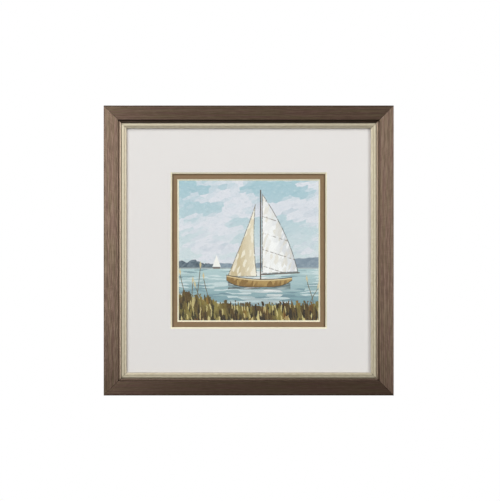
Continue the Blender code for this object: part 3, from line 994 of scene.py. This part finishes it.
def swept_ring(path, normal, radius):
    """A round wire on a closed flat path: the point at turn t is path + radius * (inward * cos t + normal *
    sin t)."""
    ahead = np.roll(path, -1, axis=0) - np.roll(path, 1, axis=0)
    ahead = ahead / np.linalg.norm(ahead, axis=1, keepdims=True)
    inward = np.cross(normal, ahead)[:, None, :]
    turn = np.linspace(0, 2 * math.pi, 20, endpoint=False)[:, None]
    return path[:, None, :] + (inward * np.cos(turn) + normal * np.sin(turn)) * radius


def build_ring(side, x, bar_z, bar_y, steel):
    """The D-ring: a bow of RING_RADIUS above two round corners and a straight bar."""
    reach = RING_RADIUS - RING_CORNER
    flat = outline(
        arc((0.0, RING_BOW_RISE), RING_RADIUS, 0, 180, 48),
        arc((-reach, RING_CORNER), RING_CORNER, 180, 270, 12),
        np.stack([np.linspace(-reach, reach, 12)[1:-1], np.zeros(10)], axis=1),
        arc((reach, RING_CORNER), RING_CORNER, 270, 360, 12),
    )
    gap = np.linalg.norm(np.roll(flat, -1, axis=0) - flat, axis=1)
    flat = flat[gap > HAIRLINE]
    path = np.stack([x + flat[:, 0], np.full(len(flat), bar_y), bar_z + flat[:, 1]], axis=1)
    points = swept_ring(path, np.array([0.0, 1.0, 0.0]), WIRE_RADIUS)
    names = ("wire_ring_" + side, "hanger_ring_" + side)
    grid_piece(*names, [steel], points, 60, wrap_rows=True, wrap_columns=True)


def build_strap(side, x, bar_z, bar_y, steel):
    """The strap: a flat band with eased edges that runs up the rail and curls round the ring's bar.
    Its half width is a half circle's at the free end, then even, then a little narrower at the barrel."""
    low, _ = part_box("hanger_strap_" + side)
    curl = bar_y - low.y - STRAP_THICK / 2 - HAIRLINE
    start = low.z
    rise = STRAP_HALF_WIDTH * (1 - np.cos(np.radians(np.linspace(0, 90, 14))))
    straight = np.linspace(start + STRAP_HALF_WIDTH, bar_z, 22)[1:]
    plate = np.concatenate([start + rise, straight])
    bend = np.radians(np.linspace(180, -112, 40))[1:]
    y = np.concatenate([np.full(len(plate), bar_y - curl), bar_y + curl * np.cos(bend)])[:, None]
    z = np.concatenate([plate, bar_z + curl * np.sin(bend)])[:, None]
    ahead_y, ahead_z = np.gradient(y, axis=0), np.gradient(z, axis=0)
    size = np.hypot(ahead_y, ahead_z)
    short = (start + STRAP_HALF_WIDTH - plate).clip(0)
    round_end = np.sqrt((STRAP_HALF_WIDTH**2 - short**2).clip(0))
    widths = (STRAP_HALF_WIDTH, BARREL_HALF_WIDTH)
    narrowing = np.interp(plate, (bar_z - 5.5 * MM, bar_z - 3.0 * MM), widths)
    half = np.append(np.minimum(round_end, narrowing), np.full(len(bend), BARREL_HALF_WIDTH))[:, None]
    ease = np.minimum(STRAP_EASE, half)
    turn = np.radians(np.repeat([0, 90, 180, 270], 5) + np.tile(np.linspace(0, 90, 5), 4))
    corner = np.radians(np.repeat([45, 135, 225, 315], 5))
    wide = np.sign(np.cos(corner)) * (half - ease) + ease * np.cos(turn)
    thick = np.sign(np.sin(corner)) * (STRAP_THICK / 2 - STRAP_EASE) + STRAP_EASE * np.sin(turn)
    points = np.stack([x + wide, y + ahead_z / size * thick, z - ahead_y / size * thick], axis=-1)
    names = ("steel_strap_" + side, "hanger_strap_" + side)
    grid_piece(*names, [steel], points, 40, wrap_columns=True, end_finish=0)


def turned(radius, depth, x, z, sides):
    """A turned shape: at angle t and step s the point is (x + r(s) cos t, depth(s), z + r(s) sin t)."""
    angle = np.linspace(0, 2 * math.pi, sides, endpoint=False)[:, None]
    across = x + radius * np.cos(angle)
    return np.stack([across, np.broadcast_to(depth, across.shape), z + radius * np.sin(angle)], axis=-1)


def build_screw(side, x, steel):
    """A pan-head screw: a low dome with a cross recess, pressed in where either arm of the cross reaches."""
    node = "hanger_screw_" + side
    low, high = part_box(node)
    z = (low.z + high.z) / 2
    head = high.x - (low.x + high.x) / 2
    rise = 1.8 * MM
    seat = high.y - rise
    steps = np.linspace(0, 1, 40)
    dome = seat + 0.35 * rise + 0.65 * rise * np.sqrt(np.clip(1 - steps**3.2, 0, 1))
    under_radius = [head, head * 0.98, 1.6 * MM, 1.6 * MM, 0.8 * MM, 0.0]
    under = [seat + 0.1 * MM, seat, seat, low.y + 4 * MM, low.y + 1.6 * MM, low.y]
    points = turned(np.append(head * steps, under_radius), np.append(dome, under), x, z, 96)
    tilt = 0.5
    off_x, off_z = points[..., 0] - x, points[..., 2] - z
    across = off_x * math.cos(tilt) + off_z * math.sin(tilt)
    up = off_z * math.cos(tilt) - off_x * math.sin(tilt)
    arm_width, arm_length, recess = 0.42 * MM, 1.9 * MM, 1.05 * MM
    arms = []
    for along, beside in ((across, up), (up, across)):
        wide = np.clip((arm_width - np.abs(beside)) / (0.14 * MM), 0, 1)
        long = np.clip((arm_length - np.abs(along)) / (0.9 * MM), 0, 1)
        arms.append(wide * long)
    on_top = np.arange(points.shape[1]) < len(steps)
    points[..., 1] -= recess * np.maximum(*arms) * on_top
    grid_piece("pan_screw_" + side, node, [steel], points, 38, wrap_rows=True)


def build_bumper(side, rubber):
    """A rubber pad: a shallow dished top, a round shoulder and a slightly flared foot."""
    node = "bumper_" + side
    low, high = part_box(node)
    x, z = (low.x + high.x) / 2, (low.z + high.z) / 2
    reach = high.x - x
    flat, round_off, dish = reach * 0.72, reach * 0.26, 0.12 * MM
    shoulder = arc((flat, high.y - round_off), round_off, 90, 8, 14)
    inward = np.linspace(0, flat, 10)[:-1]
    top = np.stack([inward, high.y - dish * (1 - (inward / flat) ** 2)], axis=1)
    foot = [(reach * 0.99, low.y + 0.5 * MM), (reach, low.y + 0.2 * MM), (reach, low.y), (0.0, low.y)]
    profile = np.concatenate([top, shoulder, foot])
    grid_piece("rubber_pad_" + side, node, [rubber], turned(*profile.T, x, z, 64), 50, wrap_rows=True)


def build_fittings(steel, rubber):
    """A hanger on each side rail and a pad in each bottom corner."""
    for side in ("left", "right"):
        low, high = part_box("hanger_ring_" + side)
        x = (low.x + high.x) / 2
        bar_y = low.y + WIRE_RADIUS
        bar_z = low.z + WIRE_RADIUS
        build_ring(side, x, bar_z, bar_y, steel)
        build_strap(side, x, bar_z, bar_y, steel)
        build_screw(side, x, steel)
        build_bumper(side, rubber)


CAMERA_DISTANCE = 2.2
FRAME_SHARE = 290.2 / 500
SIDESTEP = 1.8 * MM
FLOOR_BELOW = 1.6
FLOOR_REACH = 5.0


def build_camera():
    """Straight in front, with the lens that makes the frame as large as the photograph shows it."""
    data = bpy.data.cameras.new("camera")
    data.sensor_fit = "HORIZONTAL"
    data.sensor_width = 36
    data.lens = data.sensor_width * CAMERA_DISTANCE * FRAME_SHARE / (2 * HALF)
    camera = in_scene("camera", data)
    camera.location = (SIDESTEP, RAIL_FRONT - CAMERA_DISTANCE, 0.0)
    camera.rotation_euler = (math.pi / 2, 0.0, 0.0)
    bpy.context.scene.camera = camera


def softbox(name, place, width, height, power):
    """A soft light aimed at the picture."""
    data = bpy.data.lights.new(name, "AREA")
    data.shape = "RECTANGLE"
    data.size = width
    data.size_y = height
    data.energy = power
    light = in_scene(name, data)
    light.location = place
    light.rotation_euler = (-Vector(place)).to_track_quat("-Z", "Y").to_euler()
    light.visible_camera = False


def build_lights():
    """A light on the right, two on the left and one overhead. Three more stand behind the frame's plane, one
    for its back and two low ones for its outer sides."""
    softbox("right_light", (1.6, -2.05, 0.28), 0.9, 1.5, 28.2)
    softbox("left_light", (-1.45, -2.0, 0.6), 0.8, 1.0, 9.3)
    softbox("near_left_light", (-0.84, -2.38, 0.4), 0.6, 1.5, 25.2)
    softbox("top_light", (0.0, -1.85, 1.35), 1.4, 0.9, 11.8)
    softbox("back_light", (-0.9, 2.2, 1.3), 1.2, 0.9, 34.0)
    softbox("right_side_light", (2.0, 0.9, -0.4), 0.6, 1.8, 14.0)
    softbox("left_side_light", (-2.0, 0.9, -0.4), 0.6, 1.8, 14.0)


def build_world():
    """White behind the frame as the camera sees it, and a soft grey light from all round."""
    world = bpy.data.worlds.new("studio")
    bpy.context.scene.world = world
    world.use_nodes = True
    tree = world.node_tree
    seen = Term(tree, tree.nodes.new("ShaderNodeLightPath").outputs["Is Camera Ray"])
    colour = blend((0.11, 0.108, 0.107, 1.0), (1.0, 1.0, 1.0, 1.0), seen)
    plug(tree.nodes["Background"].inputs["Color"], colour)


def build_floor():
    """A plain pale floor well below the hanging frame, a disc that glows white towards its rim."""
    material = new_finish("pale_floor", Roughness=0.9, Emission_Strength=1.0)
    material.cycles.emission_sampling = "NONE"
    place = place_of(material, "Object")
    across, along, _ = split(place)
    distance = calc("SQRT", across * across + along * along)
    glow = ramp(distance, FLOOR_REACH * 0.3, FLOOR_REACH * 0.98)
    fed(
        material,
        Base_Color=blend((196, 195, 193), (204, 203, 201), noise(place, 30.0, 3.0)),
        Emission_Color=blend((0.45, 0.45, 0.45, 1.0), (1.0, 1.0, 1.0, 1.0), glow),
    )
    points = turned(np.linspace(0, FLOOR_REACH, 12), np.zeros(12), 0.0, 0.0, 96)[..., [0, 2, 1]]
    points[..., 2] -= FLOOR_BELOW
    faces = grid_faces(*points.shape[:2], True, False)[0]
    mesh = bpy.data.meshes.new("floor")
    mesh.from_pydata(points.reshape(-1, 3).tolist(), [], faces.reshape(-1, 4).tolist())
    mesh.materials.append(material)
    floor = in_scene("floor", mesh)
    floor.visible_diffuse = False
    floor.visible_glossy = False


def main():
    """Builds the part and the studio round it."""
    build_camera()
    build_moulding()
    build_package()
    build_dust_cover()
    build_fittings(plated_steel(), soft_rubber())
    build_lights()
    build_world()
    build_floor()
    bpy.context.scene.view_settings.view_transform = "Standard"
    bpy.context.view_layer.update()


main()
